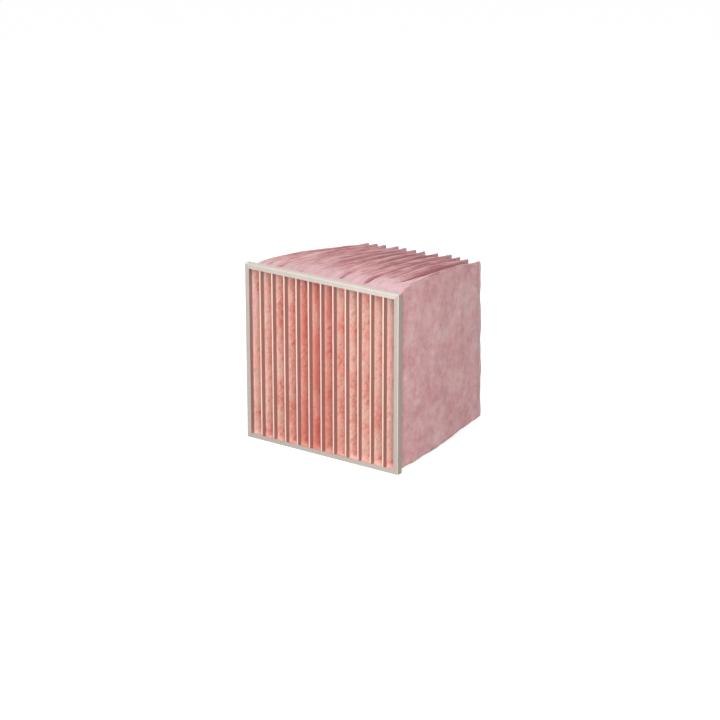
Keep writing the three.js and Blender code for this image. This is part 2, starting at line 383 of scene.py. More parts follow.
def fill(tree, node, values):
    """Links or sets a node's inputs, by name or number."""
    for key, value in values.items():
        socket = node.inputs[key]
        if isinstance(value, NodeSocket):
            tree.links.new(value, socket)
        else:
            socket.default_value = value


def place(tree, kind, values=None, **settings):
    """A new node with its settings and its inputs."""
    node = tree.nodes.new(kind)
    for key, value in settings.items():
        setattr(node, key, value)
    fill(tree, node, values or {})
    return node


def output(tree, kind, values=None, **settings):
    """What a new node puts out first."""
    return place(tree, kind, values, **settings).outputs[0]


def maths(tree, operation, *numbers):
    return output(tree, "ShaderNodeMath", dict(enumerate(numbers)), operation=operation)


def times(tree, value, *others):
    """Product of all the values."""
    for other in others:
        value = maths(tree, "MULTIPLY", value, other)
    return value


def mixed(tree, weights):
    """Sum of two outputs, each times its weight."""
    (value, weight), (other, other_weight) = weights.items()
    return maths(tree, "MULTIPLY_ADD", value, weight, times(tree, other, other_weight))


def vectors(tree, operation, *values):
    return output(tree, "ShaderNodeVectorMath", dict(enumerate(values)), operation=operation)


def axes(tree, vector):
    """The outputs X, Y and Z of a vector."""
    return place(tree, "ShaderNodeSeparateXYZ", {0: vector}).outputs


def combined(tree, x=0.0, y=0.0, z=0.0):
    return output(tree, "ShaderNodeCombineXYZ", {0: x, 1: y, 2: z})


def remap(tree, value, low, high, to_low=0.0, to_high=1.0):
    values = {"Value": value, "From Min": low, "From Max": high,
              "To Min": to_low, "To Max": to_high}
    return output(tree, "ShaderNodeMapRange", values, clamp=True)


def blend(tree, factor, start, end, mode="MIX"):
    """From one colour to the other; a factor below 0 counts as 0."""
    values = {0: factor, 6: start, 7: end}
    return place(tree, "ShaderNodeMix", values, data_type="RGBA", blend_type=mode).outputs[2]


def noise(tree, vector, scale, seed, detail=2.0, roughness=0.5, distortion=0.0):
    values = {"Vector": vector, "Scale": scale, "W": seed, "Detail": detail,
              "Roughness": roughness, "Distortion": distortion}
    return output(tree, "ShaderNodeTexNoise", values, noise_dimensions="4D")


def new_group(name, kind, inputs, outputs):
    """A new node group, and what its input node puts out. Sockets are given by name, with their
    kind, or with the default of a plain number."""
    tree = bpy.data.node_groups.new(name, f"{kind}NodeTree")
    for direction, sockets in (("INPUT", inputs), ("OUTPUT", outputs)):
        for title, given in sockets.items():
            plain_number = not isinstance(given, str)
            sort = "NodeSocketFloat" if plain_number else f"NodeSocket{given}"
            socket = tree.interface.new_socket(name=title, in_out=direction, socket_type=sort)
            if plain_number:
                socket.default_value = given
    return tree, tree.nodes.new("NodeGroupInput").outputs


def four(rgb):
    return (*rgb, 1.0)


# Shader node groups

def wadding_mottle(name):
    """Group: soft patches, blotches and streaks in three shades of wadding."""
    tree, given = new_group(name, "Shader", {
        "Vector": "Vector", "Stretched vector": "Vector", "Pale": "Color", "Middle": "Color",
        "Deep": "Color", "Patch scale": 13.0, "Blotch scale": 45.0, "Streak share": 0.3,
        "Low": 0.38, "High": 0.62, "Seed": 0.0,
    }, {"Colour": "Color"})
    vector, seed = given["Vector"], given["Seed"]
    patches = noise(tree, vector, given["Patch scale"], seed, detail=3.0, roughness=0.6)
    blotches = noise(tree, vector, given["Blotch scale"], seed, detail=4.0, roughness=0.65)
    streaks = noise(tree, given["Stretched vector"], 1.0, seed, detail=3.0, roughness=0.6)
    soft = mixed(tree, {patches: 0.55, blotches: 0.45})
    raw = output(tree, "ShaderNodeMix", {0: given["Streak share"], 2: soft, 3: streaks})
    shade = remap(tree, raw, given["Low"], given["High"])
    lower = blend(tree, remap(tree, shade, 0.0, 0.5), given["Deep"], given["Middle"])
    mottled = blend(tree, remap(tree, shade, 0.5, 1.0), lower, given["Pale"])
    place(tree, "NodeGroupOutput", {"Colour": mottled})
    return tree


def wadding_fluff(name):
    """Group: height of the wadding's fine fluff, for a bump, and where its strands lie."""
    tree, given = new_group(name, "Shader", {
        "Vector": "Vector", "Tuft scale": 130.0, "Fibre scale": 240.0,
    }, {"Height": 0.0, "Strands": 0.0})
    tufts = noise(tree, given["Vector"], given["Tuft scale"], seed=3.0, detail=4.0, roughness=0.65)
    fibres = noise(tree, given["Vector"], given["Fibre scale"], seed=9.0, detail=4.0,
                   roughness=0.7, distortion=1.6)
    place(tree, "NodeGroupOutput", {"Height": mixed(tree, {tufts: 0.65, fibres: 0.35}),
                                    "Strands": remap(tree, fibres, 0.52, 0.68)})
    return tree


def galvanised_grain(name):
    """Group: faint spangle and rolling marks of galvanised sheet."""
    tree, given = new_group(name, "Shader", {
        "Vector": "Vector", "Colour": "Color", "Spangle scale": 160.0, "Roughness": 0.4,
    }, {"Colour": "Color", "Roughness": 0.0, "Height": 0.0})
    cells = place(tree, "ShaderNodeTexVoronoi",
                  {"Vector": given["Vector"], "Scale": given["Spangle scale"]})
    spangle = output(tree, "ShaderNodeSeparateColor", {0: cells.outputs["Color"]})
    smudge = noise(tree, given["Vector"], scale=18.0, seed=5.0, detail=4.0, roughness=0.6)
    tone = maths(tree, "ADD", mixed(tree, {spangle: 0.05, smudge: 0.16}), 0.87)
    grey = output(tree, "ShaderNodeCombineColor", {0: tone, 1: tone, 2: tone})
    rough = maths(tree, "MULTIPLY_ADD", smudge, 0.16, given["Roughness"])
    place(tree, "NodeGroupOutput", {
        "Colour": blend(tree, 1.0, given["Colour"], grey, "MULTIPLY"),
        "Roughness": maths(tree, "MULTIPLY_ADD", spangle, 0.06, rough),
        "Height": noise(tree, given["Vector"], scale=420.0, seed=2.0),
    })
    return tree


def place_group(tree, name, build, values):
    """A node of the group with this name, which is built where it isn't there yet."""
    group = bpy.data.node_groups.get(name) or build(name)
    return place(tree, "ShaderNodeGroup", values, node_tree=group).outputs


# Materials

def new_material(name):
    """A material with its node tree, its shader node and its object coordinates."""
    material = bpy.data.materials.new(name)
    material.use_nodes = True
    tree = material.node_tree
    shader = next(node for node in tree.nodes if node.type == "BSDF_PRINCIPLED")
    coordinates = place(tree, "ShaderNodeTexCoord").outputs["Object"]
    return material, tree, shader, coordinates


def attribute(tree, name):
    return place(tree, "ShaderNodeAttribute", attribute_name=name).outputs["Fac"]


def bumped(tree, height, strength, distance):
    values = {"Height": height, "Strength": strength, "Distance": distance}
    return output(tree, "ShaderNodeBump", values)


def lengthways_streaks(tree, coordinates):
    """Streaks that run along a pocket's top, pale above 0 and dark below."""
    across, lengthways = STREAK_SCALES
    along = combined(tree, times(tree, attribute(tree, "arc"), across),
                     times(tree, axes(tree, coordinates)["Y"], lengthways))
    streaks = noise(tree, along, 1.0, attribute(tree, "seed"), detail=3.0, roughness=0.6)
    return times(tree, remap(tree, streaks, 0.34, 0.66, -0.62, 0.5), attribute(tree, "lengthways"))


def beside_strips(tree, coordinates):
    """Painted shade on the lining right behind the strips: 1 there, most of all high up, and 0 deeper
    in.
    """
    parts = axes(tree, coordinates)
    start, end = (HEADER_FRONT + depth for depth in LIP_SHADE_DEPTHS)
    near = remap(tree, parts["Y"], start, end, 1.0, 0.0)
    high = remap(tree, parts["Z"], *LIP_SHADE_HEIGHTS, 0.3, 0.85)
    return times(tree, near, high)


def wadding_material(name, shades, colours, spread, stretch, **scales):
    """Mottled wadding, with a coat for each mask over the one before."""
    material, tree, shader, coordinates = new_material(name)
    pale, middle, deep = (four(shade) for shade in shades)
    crease = four(colours.crease)
    seed, tone, inside = (attribute(tree, mask) for mask in ("seed", "tone", "inside"))
    tinted = place_group(tree, "Wadding mottle", wadding_mottle, {
        "Vector": vectors(tree, "MULTIPLY", coordinates, spread),
        "Stretched vector": vectors(tree, "MULTIPLY", coordinates, stretch),
        "Pale": pale, "Middle": middle, "Deep": deep, "Seed": seed,
        **{title.replace("_", " ").capitalize(): scale for title, scale in scales.items()},
    })["Colour"]
    fluff = place_group(tree, "Wadding fluff", wadding_fluff, {"Vector": coordinates})
    clumps = remap(tree, noise(tree, coordinates, 62.0, seed), 0.54, 0.72)
    streaks = lengthways_streaks(tree, coordinates)
    for mask, coat in (
        # Tone: outside, painted light and shade behind the header and on the tops, and a painted
        # highlight on the seam ridges; inside, each pocket's own tone
        (tone, pale),
        (times(tree, tone, -1.0), deep),
        (times(tree, fluff["Strands"], 0.35), pale),
        (times(tree, clumps, inside, 0.6), four(colours.clump)),
        (streaks, pale),
        (times(tree, streaks, -1.0), crease),
        # Painted shade: down the gaps between pockets, in the pits and at the hems, then along the
        # crease lines and hollows on the tops
        (times(tree, attribute(tree, "valley"), 0.92), crease),
        (times(tree, attribute(tree, "crease"), 0.6), crease),
        # Painted shade on the tops right behind the top rail
        (attribute(tree, "pinched"), four(colours.pinched)),
        # Hem colour: partly the pressed wadding's own mauve, partly painted shade between the pockets
        (times(tree, attribute(tree, "seam"), 0.8), four(colours.hem)),
        # Painted shade on the lining right behind the strips
        (times(tree, beside_strips(tree, coordinates), inside), four(colours.lip)),
    ):
        tinted = blend(tree, mask, tinted, coat)
    fill(tree, shader, {
        "Base Color": tinted,
        "Roughness": 0.95,
        "Specular IOR Level": 0.15,
        "Sheen Weight": 0.25,
        "Sheen Roughness": 0.6,
        "Subsurface Weight": 0.6,
        "Subsurface Radius": (1.0, 0.5, 0.42),
        "Subsurface Scale": 8 * MM,
        "Normal": bumped(tree, fluff["Height"], 0.9, 4 * MM),
    })
    return material


def outer_wadding(colours):
    shades = (colours.outer_pale, colours.outer_middle, colours.outer_deep)
    return wadding_material("wadding_outside", shades, colours, (1.0, 1.0, 1.0),
                            (60.0, 30.0, 16.0), patch_scale=16.0, blotch_scale=55.0,
                            streak_share=0.22, low=0.38, high=0.62)


def inner_wadding(colours):
    shades = (colours.inner_pale, colours.inner_middle, colours.inner_deep)
    return wadding_material("wadding_inside", shades, colours, (1.0, 0.8, 0.65),
                            (90.0, 60.0, 70.0), patch_scale=17.0, blotch_scale=110.0,
                            streak_share=0.3, low=0.42, high=0.58)


def bend_highlight(tree, coordinates):
    """1 along the outer bend of the header's front flanges, where a painted highlight lies."""
    low, high = header_box()
    half = (high - low) / 2
    centred = vectors(tree, "SUBTRACT", coordinates, tuple((low + high) / 2))
    parts = axes(tree, vectors(tree, "ABSOLUTE", centred))
    return maths(tree, "MAXIMUM", *(
        remap(tree, part, edge - 2.2 * MM, edge - 0.6 * MM)
        for part, edge in ((parts["X"], half.x), (parts["Z"], half.z))))


def sheet_steel(name, tint, shade_tint, bend, roughness, metallic):
    """Sheet with a painted highlight along the header's outer bends and painted shade from the bend
    at this depth on.
    """
    material, tree, shader, coordinates = new_material(name)
    wander = noise(tree, coordinates, scale=60.0, seed=4.0, detail=3.0, roughness=0.6)
    depth = maths(tree, "MULTIPLY_ADD", wander, 2 * MM, axes(tree, coordinates)["Y"])
    # Painted shade on the sheet behind the bend at this depth
    painted_shade = remap(tree, depth, HEADER_FRONT + bend, HEADER_FRONT + bend + 2.5 * MM)
    # Painted highlight along the outer bends, at half strength
    bright = times(tree, bend_highlight(tree, coordinates), 0.5)
    tone = blend(tree, painted_shade, blend(tree, bright, four(tint), four(BEND_HIGHLIGHT)), four(shade_tint))
    grain = place_group(tree, "Galvanised grain", galvanised_grain,
                        {"Vector": coordinates, "Colour": tone, "Roughness": roughness})
    fill(tree, shader, {
        "Base Color": grain["Colour"],
        "Roughness": grain["Roughness"],
        "Metallic": metallic,
        "Normal": bumped(tree, grain["Height"], 0.12, 0.3 * MM),
    })
    return material


def thread_material(colours):
    material, tree, shader, coordinates = new_material("thread")
    twist = noise(tree, coordinates, scale=900.0, seed=1.0, detail=2.0, roughness=0.6)
    shaded = four([part * 0.8 for part in colours.thread])
    fill(tree, shader, {
        "Base Color": blend(tree, remap(tree, twist, 0.3, 0.7), shaded, four(colours.thread)),
        "Roughness": 0.7,
        "Sheen Weight": 0.2,
        "Normal": bumped(tree, twist, 0.4, 0.4 * MM),
    })
    return material


def fibre_material(colours):
    material, tree, shader, coordinates = new_material("loose_fibre")
    speckle = noise(tree, coordinates, scale=90.0, seed=6.0, detail=3.0, roughness=0.6)
    fill(tree, shader, {
        "Base Color": blend(tree, remap(tree, speckle, 0.35, 0.65), four(colours.outer_deep),
                            four(colours.outer_pale)),
        "Roughness": maths(tree, "MULTIPLY_ADD", speckle, 0.3, 0.5),
        "Normal": bumped(tree, noise(tree, coordinates, scale=1500.0, seed=8.0), 0.3, 0.1 * MM),
    })
    return material


# Geometry node trees and how they are run

def new_geometry_tree(name, inputs):
    shape = {"Geometry": "Geometry"}
    return new_group(name, "Geometry", {**shape, **inputs}, shape)


def named(tree, name):
    values = {"Name": name}
    return output(tree, "GeometryNodeInputNamedAttribute", values, data_type="FLOAT")


def end_tree(tree, geometry, materials):
    """Ends a tree in Realize Instances and one Set Material for each (material, selection)."""
    last = output(tree, "GeometryNodeRealizeInstances", {"Geometry": geometry})
    for material, selection in materials:
        values = {"Geometry": last, "Material": material, "Selection": selection}
        last = output(tree, "GeometryNodeSetMaterial", values)
    place(tree, "NodeGroupOutput", {"Geometry": last})


def run_tree(obj, tree, settings, **others):
    """Replaces an object's mesh by what the tree makes of it. Each of the tree's inputs takes the
    setting of the same name."""
    modifier = obj.modifiers.new(tree.name, "NODES")
    modifier.node_group = tree
    for item in tree.interface.items_tree:
        name = item.name.lower().replace(" ", "_")
        if item.in_out == "INPUT" and name != "geometry":
            modifier[item.identifier] = others[name] if name in others else getattr(settings, name)
    graph = bpy.context.evaluated_depsgraph_get()
    made = bpy.data.meshes.new_from_object(obj.evaluated_get(graph),
                                           preserve_all_data_layers=True, depsgraph=graph)
    obj.modifiers.remove(modifier)
    old = obj.data
    obj.data = made
    bpy.data.meshes.remove(old)


def new_object(name, points, faces=(), edges=()):
    mesh = bpy.data.meshes.new(name)
    mesh.from_pydata(points.tolist(), list(edges), faces)
    mesh.update()
    obj = bpy.data.objects.new(name, mesh)
    bpy.context.scene.collection.objects.link(obj)
    return obj


def add_attribute(obj, name, values):
    layer = obj.data.attributes.new(name, "FLOAT", "POINT")
    layer.data.foreach_set("value", np.asarray(values, np.float32).ravel())


# Shape of a pocket

def mesh_points(mesh):
    """All points of a mesh."""
    points = np.empty(len(mesh.vertices) * 3)
    mesh.vertices.foreach_get("co", points)
    return points.reshape(-1, 3)


class PocketForm:
    """The outline of one pocket, with its place, lean and drop measured on its solid."""

    def __init__(self, number, sizes):
        self.number = number
        self.sizes = sizes
        points = mesh_points(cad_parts[f"pocket_{number:02d}"].data)
        lip = points[points[:, 1] < HEADER_BACK]
        neck = points[np.abs(points[:, 1] - HEADER_BACK) < 1 * MM]
        rear = points[points[:, 1] > points[:, 1].max() - HEM_BAND]
        crest = rear[rear[:, 2].argmax()]
        foot = rear[rear[:, 2].argmin()]
        row = (number - 1) / (len(POCKETS) - 1)
        self.mouth = (lip[:, 0].min() + lip[:, 0].max()) / 2
        self.mouth_half = (lip[:, 0].max() - lip[:, 0].min()) / 2
        self.lip_span = (lip[:, 2].min(), lip[:, 2].max())
        self.lip_depths = (lip[:, 1].min(), lip[:, 1].max())
        self.mouth_span = (neck[:, 2].min(), neck[:, 2].max())
        self.length = points[:, 1].max() - HEADER_BACK
        self.lean = crest[0] - self.mouth
        self.foot_lead = foot[0] - crest[0]
        self.drop = self.mouth_span[1] - crest[2]
        self.lift = foot[2]
        self.puff = mix(*PUFF, row)
        self.puff_share = mix(*PUFF_SHARE, row)
        self.drop_power = mix(*DROP_POWER, row)
        self.hem_start = 1 - sizes.hem / self.length
        self.phase = PHASE_STEP * number
        self.tone = PALE_TONE - WARM_TONE * math.exp(-((number - WARM_POCKET) / WARM_SPREAD) ** 2)
        # Painted light and shade behind the header, painted light on the tops of the first half of
        # the pockets, and painted shade right behind the top rail
        self.front_tone = mix(*FRONT_TONE, row)
        self.top_tone = TOP_TONE * max(0, 1 - 2 * row)
        self.pinched = mix(*FRONT_SHADE, row)
        if number in (1, len(POCKETS)):
            self.tone += OUTERMOST_TONE
        self.rise = HEIGHT_SPREAD * math.sin(2 * math.pi * HEIGHT_TURNS * self.phase)

    def half_width(self, share):
        along = np.clip((share - STRAIGHT_SHARE) / (self.hem_start - STRAIGHT_SHARE), 0, 1)
        wedge = mix(self.mouth_half, CLOSING_HALF_WIDTH, along ** TAPER_POWER)
        pressed = smooth(self.hem_start - 0.01, mix(self.hem_start, 1, 0.35), share)
        return mix(wedge, HEM_HALF_WIDTH, pressed)

    def lean_share(self, share):
        return np.clip((share - STRAIGHT_SHARE) / (1 - STRAIGHT_SHARE), 0, 1) ** LEAN_POWER

    def top(self, share):
        share = np.clip(share, 0, 1)
        swollen = self.puff * (1 - np.exp(-share / self.puff_share))
        swollen = swollen + self.top_wave(share)
        swollen = swollen + HEM_RISE * smooth(self.hem_start - RISE_RUN, 1, share)
        return self.mouth_span[1] + swollen - (self.puff + self.drop) * share ** self.drop_power

    def top_wave(self, share):
        free = within(WAVE_SPAN, share)
        wave = self.wave(TOP_WAVES * share, 0.0) - TOP_WAVE_SINK
        return TOP_WAVE * wave * free + self.rise * free

    def wave(self, along, phase):
        """Two sines over each other, from -1 to 1."""
        slow = np.sin(2 * math.pi * (along + self.phase + phase))
        quick = np.sin(2 * math.pi * (2.3 * along + 3 * self.phase - phase))
        return 0.65 * slow + 0.35 * quick

    def crest(self, share):
        """Where the seam runs along the top, as a share of half the width."""
        rest = OUTER_CREST * smooth(*CREST_TURNS, share) if self.number == len(POCKETS) else 0
        wave = self.wave(CREST_WAVES * share, 0.2)
        return rest + CREST_WANDER * wave * within(WANDER_SPAN, share)

    def base(self, share):
        sinking = np.clip(1 - share / SINK_SHARE, 0, 1)
        lifting = np.clip((share - LIFT_START) / (1 - LIFT_START), 0, 1)
        return self.mouth_span[0] * sinking ** 2 + self.lift * lifting ** LIFT_POWER

    def pit(self, side, share):
        """How far this side of the round top is cut down by a pit behind the header."""
        return PITS.get(self.gap(side), 0) * within(PIT_SPAN, share)

    def pressed(self, side, share):
        """How hard this side presses on the neighbouring pocket behind the header."""
        if self.outermost(side):
            return 0 * share
        return (1 - smooth(*PRESS_SPAN[1], share)) * (1 - np.minimum(1, self.pit(side, share)))

    def bulge(self, side, share):
        """How far the wall swells over the strip's width to meet the neighbour's."""
        free = PITCH / 2 - self.mouth_half - CLEARANCE
        return free * self.pressed(side, share) * smooth(*PRESS_SPAN[0], share)

    def gap(self, side):
        """Number of the gap on this side: 0 and the last are the outer walls."""
        return self.number if side > 0 else self.number - 1

    def outermost(self, side):
        return self.gap(side) in (0, len(POCKETS))

    def valley(self, side, share, below):
        """How deep in shade a point is that lies this far below the top beside a gap."""
        if self.outermost(side):
            return 0 * share * below
        pit = self.pit(side, share)
        shade = GAP_SHADES[self.gap(side) - 1] * smooth(*SHADE_DEEPENS, share)
        at_hem = HEM_SHADE * smooth(self.hem_start - HEM_RUN, self.hem_start, share)
        shade = np.maximum(np.maximum(shade, pit), at_hem)
        near = smooth(1 * MM, mix(*SHADE_DEPTHS, pit), below)
        return shade * near * (1 - SHADE_LOSS * smooth(*SHADE_FADES, below))

    def room(self, side, share):
        """Free space between this side and the neighbour's, as a half."""
        return 0 * share + 1 if self.outermost(side) else self.mouth_half - self.half_width(share)


def thread_pull(form, shares, heights, threads):
    """Dimples where the spacer threads hold the wall."""
    row = (shares * form.length - threads.first_row) / threads.row_pitch
    rise = heights / threads.rise - 0.5
    from_row = (row - np.round(row)) * threads.row_pitch
    from_rise = (rise - np.round(rise)) * threads.rise
    reach = PULL_REACH * threads.rise
    return np.exp(-(from_row ** 2 + from_rise ** 2) / (2 * reach ** 2))


def half_ring(form, share, side, wall_steps, inside, threads):
    """Half a section at each share, from the crest down one side to the bottom: the distance
    from the middle, the height, and masks for the seam and for the top."""
    sizes = form.sizes
    wall = mix(sizes.lip, sizes.wadding, smooth(*WALL_THICKENS, share)) if inside else 0
    ridge = sizes.seam * smooth(*SEAM_RISES, share)
    skin = form.half_width(share) + form.bulge(side, share)
    full = np.maximum(skin - wall, THINNEST)
    sharp = smooth(*CAP_SHARPENS, share)
    opened = smooth(*MOUTH_OPENS, share)
    crest = np.minimum(np.abs(form.crest(share)), np.clip(1 - SEAM_ROOM / full, 0, 1))
    crest = side * np.sign(form.crest(share)) * crest
    front_cap = OUTER_CAPS.get(form.gap(side), PRESSED_CAP)
    parted = mix(front_cap, sizes.round_cap, smooth(*CAP_PARTS, share))
    cap = skin * mix(parted, SHARP_CAP, sharp) * opened * (1 - CREST_CUT * crest)
    cap = cap + skin * PIT_CUT * form.pit(side, share)
    base_cap = full * mix(BASE_CAP, SHARP_CAP, sharp) * opened
    top = form.top(share) - wall
    base = form.base(share) + wall
    if inside:
        shoulder = top - ridge - LINING_DROP * np.abs(crest)
        ridge_x = (crest + LINING_ACROSS) * full
        ridge_z = shoulder - 0 * ridge_x
    else:
        shoulder = top - ridge
        ridge_x = np.minimum(RIDGE_ACROSS * sizes.seam_half, RIDGE_MOST * full)
        ridge_x = crest * full + ridge_x * mix(0.6, 1, ridge / sizes.seam)
        ridge_z = top - RIDGE_DOWN * ridge
    start = ridge_x[:, -1:] + CAP_START * (ridge_x[:, -1:] - ridge_x[:, :1])
    along = np.linspace(0, 1, CAP_STEPS + 1)[None, :]
    turn = along * math.pi / 2
    cap_x = mix(start, full, mix(np.sin(turn), along ** SHARP_POWER, sharp))
    cap_z = shoulder - cap * mix(1 - np.cos(turn), along, sharp)
    down = np.linspace(0, 1, wall_steps + 1)[None, 1:-1]
    wall_z = mix(shoulder - cap, base + base_cap, down)
    wall_x = full - sizes.pull * thread_pull(form, share, wall_z, threads) * opened
    wall_x = np.maximum(wall_x, WALL_LEAST * full)
    back = np.linspace(1, 0, BASE_STEPS + 1)[None, :]
    turn = back * math.pi / 2
    base_x = full * mix(np.sin(turn), back ** SHARP_POWER, sharp)
    base_z = base + base_cap * mix(1 - np.cos(turn), back, sharp)
    across = np.concatenate([ridge_x, cap_x, wall_x, base_x], axis=1)
    height = np.concatenate([ridge_z, cap_z, wall_z, base_z], axis=1)
    on_ridge, on_top = np.zeros_like(across), np.zeros_like(across)
    if not inside:
        on_ridge[:, :len(RIDGE_ACROSS)] = ridge / sizes.seam
    cap_end = len(RIDGE_ACROSS) + CAP_STEPS + 1
    on_top[:, :cap_end] = 1 - np.linspace(0, 1, cap_end) ** 2
    return across, height, on_ridge, on_top


def ring_points(form, shares, wall_steps, inside, threads):
    """Whole sections at each share, with the COLUMNS of each point."""
    share = shares[:, None]
    lean = form.lean_share(share)
    hem = smooth(form.hem_start - HEM_RUN, 1, share)
    bow = REAR_BOW * np.clip(share, 0, 1) ** BOW_POWER
    halves = []
    for side in (1, -1):
        across, height, on_ridge, on_top = half_ring(form, share, side, wall_steps, inside, threads)
        below = height[:, :1] - height
        from_top = below / (height[:, :1] - height[:, -1:])
        x = form.mouth + form.lean * lean + form.foot_lead * lean * from_top + side * across
        x = x + HEM_WAVE * hem * form.wave(height / HEM_WAVE_LENGTH, 0.4)
        y = HEADER_BACK + form.length * share - bow * (2 * from_top - 1) ** 2
        swell = np.clip(form.room(side, share) / form.sizes.billow_height, 0, 0.5) + 0 * across
        swell = np.maximum(swell, 0.5 * on_top * smooth(*TOP_SWELLS, share))
        steps = np.hypot(np.diff(across, axis=1), np.diff(height, axis=1))
        arc = side * np.concatenate([0 * share, np.cumsum(steps, axis=1)], axis=1)
        reach = OUTER_STREAKS if form.outermost(side) else STREAKS
        lengthways = (1 - smooth(*reach, below)) * smooth(*STREAKS_START, share)
        halves.append(np.stack([
            x, y, height, on_ridge, on_top, swell, arc, form.valley(side, share, below),
            np.full_like(x, form.gap(side) == len(POCKETS)), lengthways,
            form.pressed(side, share) + 0 * across], axis=2))
    right, left = halves
    return np.concatenate([right, left[:, -2:0:-1]], axis=1)


def lip_rings(form, template, inside):
    """Square sections of the lip inside the header, from its back to its front edge."""
    wall = form.sizes.lip if inside else 0
    middle = form.mouth
    half = form.mouth_half - wall
    neck = (form.mouth_span[0] + wall, form.mouth_span[1] - wall)
    spread = (form.lip_span[0] + wall, form.lip_span[1] - wall)
    front, back = form.lip_depths
    rings = []
    for span, depth in ((neck, HEADER_BACK + LIP_RUN), (neck, back - wall),
                        (spread, back - wall), (spread, front)):
        ring = np.zeros_like(template)
        low, high = template[:, 2].min(), template[:, 2].max()
        ring[:, 0] = middle + np.clip(template[:, 0] - middle, -half, half)
        ring[:, 1] = depth
        ring[:, 2] = mix(span[0], span[1], (template[:, 2] - low) / (high - low))
        rings.append(ring)
    return np.stack(rings)


def shell_faces(ring_count, point_count):
    """Quads between the rings, and the two ends closed from side to side."""
    ring = np.arange(ring_count - 1)[:, None] * point_count
    here = ring + np.arange(point_count)[None, :]
    beside = ring + (np.arange(point_count)[None, :] + 1) % point_count
    quads = np.stack([here, beside, beside + point_count, here + point_count], axis=2)
    faces = quads.reshape(-1, 4).tolist()
    half = point_count // 2
    last = (ring_count - 1) * point_count
    for start, turned in ((0, False), (last, True)):
        caps = [[0, 1, point_count - 1]]
        caps += [[i, i + 1, point_count - i - 1, point_count - i] for i in range(1, half - 1)]
        caps += [[half - 1, half, half + 1]]
        for cap in caps:
            cap = [start + corner for corner in cap]
            faces.append(cap if turned else cap[::-1])
    return faces


def signed_volume(points, faces):
    """Volume inside the quads, below 0 where they point inwards."""
    quads = np.array([face for face in faces if len(face) == 4])
    a, b, c, d = (points[quads[:, corner]] for corner in range(4))
    return (a * (np.cross(b, c) + np.cross(c, d))).sum() / 6


def outer_shares(form, steps):
    """Shares along a pocket: close together behind the header and at the hem."""
    front = np.linspace(SKIN_START, FRONT_END, FRONT_RINGS)
    middle = np.linspace(FRONT_END, form.hem_start, steps)[1:]
    return np.concatenate([front, middle, mix(form.hem_start, 1, HEM_RINGS)])


def inner_shares(form, steps):
    """Shares along a lining: from inside the header to the start of the hem."""
    front = np.linspace(LINING_START, FRONT_END, FRONT_RINGS)
    rear = mix(FRONT_END, form.hem_start, np.linspace(0, 1, steps) ** LINING_POWER)[1:]
    return np.concatenate([front, rear])


def build_pocket(form, threads, steps, wall_steps):
    """A pocket's closed shell: its skin from the hem to the header, its lip, and its lining."""
    outer = ring_points(form, outer_shares(form, steps)[::-1], wall_steps, False, threads)
    inner = ring_points(form, inner_shares(form, LINING_STEPS), wall_steps, True, threads)
    outer_lip = lip_rings(form, outer[-1], False)
    inner_lip = lip_rings(form, outer[-1], True)[::-1][:1]
    rings = np.concatenate([outer, outer_lip, inner_lip, inner])
    ring_count, point_count, column_count = rings.shape
    data = rings.reshape(-1, column_count)
    points = data[:, :3]
    faces = shell_faces(ring_count, point_count)
    if signed_volume(points, faces) < 0:
        faces = [face[::-1] for face in faces]
    obj = new_object(f"pocket_{form.number:02d}_wadding", points, faces)
    obj["points_in_a_ring"] = point_count
    obj["outer_rings"] = len(outer)
    obj["lining_start"] = len(rings) - len(inner)
    column = dict(zip(COLUMNS, data.T))
    top = column["top"]
    ring = np.arange(len(data)) // point_count
    inside = ring >= len(outer) + len(outer_lip)
    free = (ring < len(outer)) | (ring >= obj["lining_start"])
    share = (points[:, 1] - HEADER_BACK) / form.length
    hem = smooth(form.hem_start - 0.02, form.hem_start + 0.006, share) * ~inside
    seamless = 1 - 0.6 * column["ridge"]
    soft = smooth(*SWELL_STARTS, share) * (1 - 0.75 * hem) * seamless
    soft = soft * (1 - column["pressed"] * mix(0.9, 0.4, top)) * free
    fluffy = smooth(*FLUFF_STARTS, share) * (1 - 0.8 * hem) * seamless * free
    # Outside, the tone is painted light and shade: light to shade across the tops behind the header,
    # painted light on the tops of the first pockets, and a painted highlight along the seam ridges
    front = (1 - smooth(*FRONT_FADES, share)) * mix(WALL_TONE, form.front_tone, top)
    tone_outside = np.maximum(front + form.top_tone * top, RIDGE_HIGHLIGHT * column["ridge"])
    wave = form.wave(points[:, 2] / TONE_WAVE_LENGTH, 0.1)
    tone_inside = form.tone * (1 - TONE_SWING + TONE_SWING * wave)
    for name, values in {
        "inside": inside,
        # The hem's mauve is partly the pressed wadding's own colour, partly painted shade: it is
        # weaker on the outermost right wall, so that the hems between pockets read darker
        "seam": hem * (1 - 0.35 * column["outer_side"]),
        "soft": soft,
        "fluffy": np.where(inside, fluffy, soft),
        "top": top * ~inside,
        # Painted shade on the tops right behind the top rail, growing towards the last pocket
        "pinched": form.pinched * (1 - smooth(*FRONT_SHADE_FADES, share)) * top * ~inside,
        "swell": column["swell"],
        "seed": np.full(len(data), COLOUR_SEED * form.number),
        "tone": np.where(inside, tone_inside, tone_outside),
        "valley": column["valley"] * ~inside,
        "arc": column["arc"],
        "lengthways": column["lengthways"] * ~inside * (1 - hem),
    }.items():
        add_attribute(obj, name, values)
    return obj


